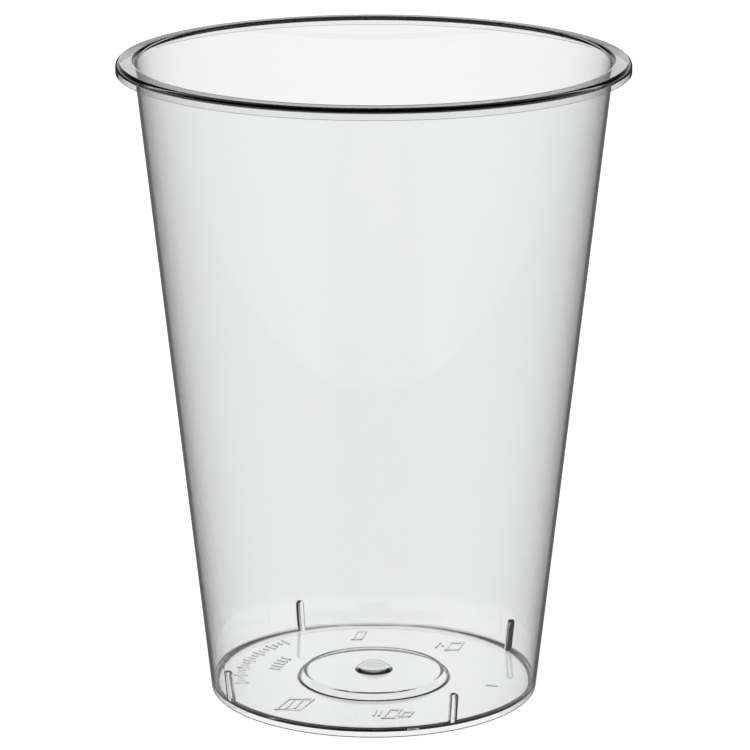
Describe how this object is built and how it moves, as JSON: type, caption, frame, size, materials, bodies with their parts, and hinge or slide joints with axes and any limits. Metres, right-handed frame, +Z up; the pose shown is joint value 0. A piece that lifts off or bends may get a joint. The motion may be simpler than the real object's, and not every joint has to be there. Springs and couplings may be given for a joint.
{
  "type": "plastic tumbler cup",
  "caption": "Clear moulded drinking tumbler with a thin tapering wall, a hooked rim, a raised floor centre and upright stacking ribs.",
  "frame": {"origin": "centre of the foot, on the surface that the tumbler stands on", "axes": "+Z up along the axis of the tumbler, towards its mouth"},
  "size_m": [0.085, 0.085, 0.1085],
  "materials": {
    "clear_plastic": "clear, glossy, see-through hard plastic"
  },
  "bodies": {
    "root": {"tumbler": "clear_plastic"}
  },
  "joints": []
}
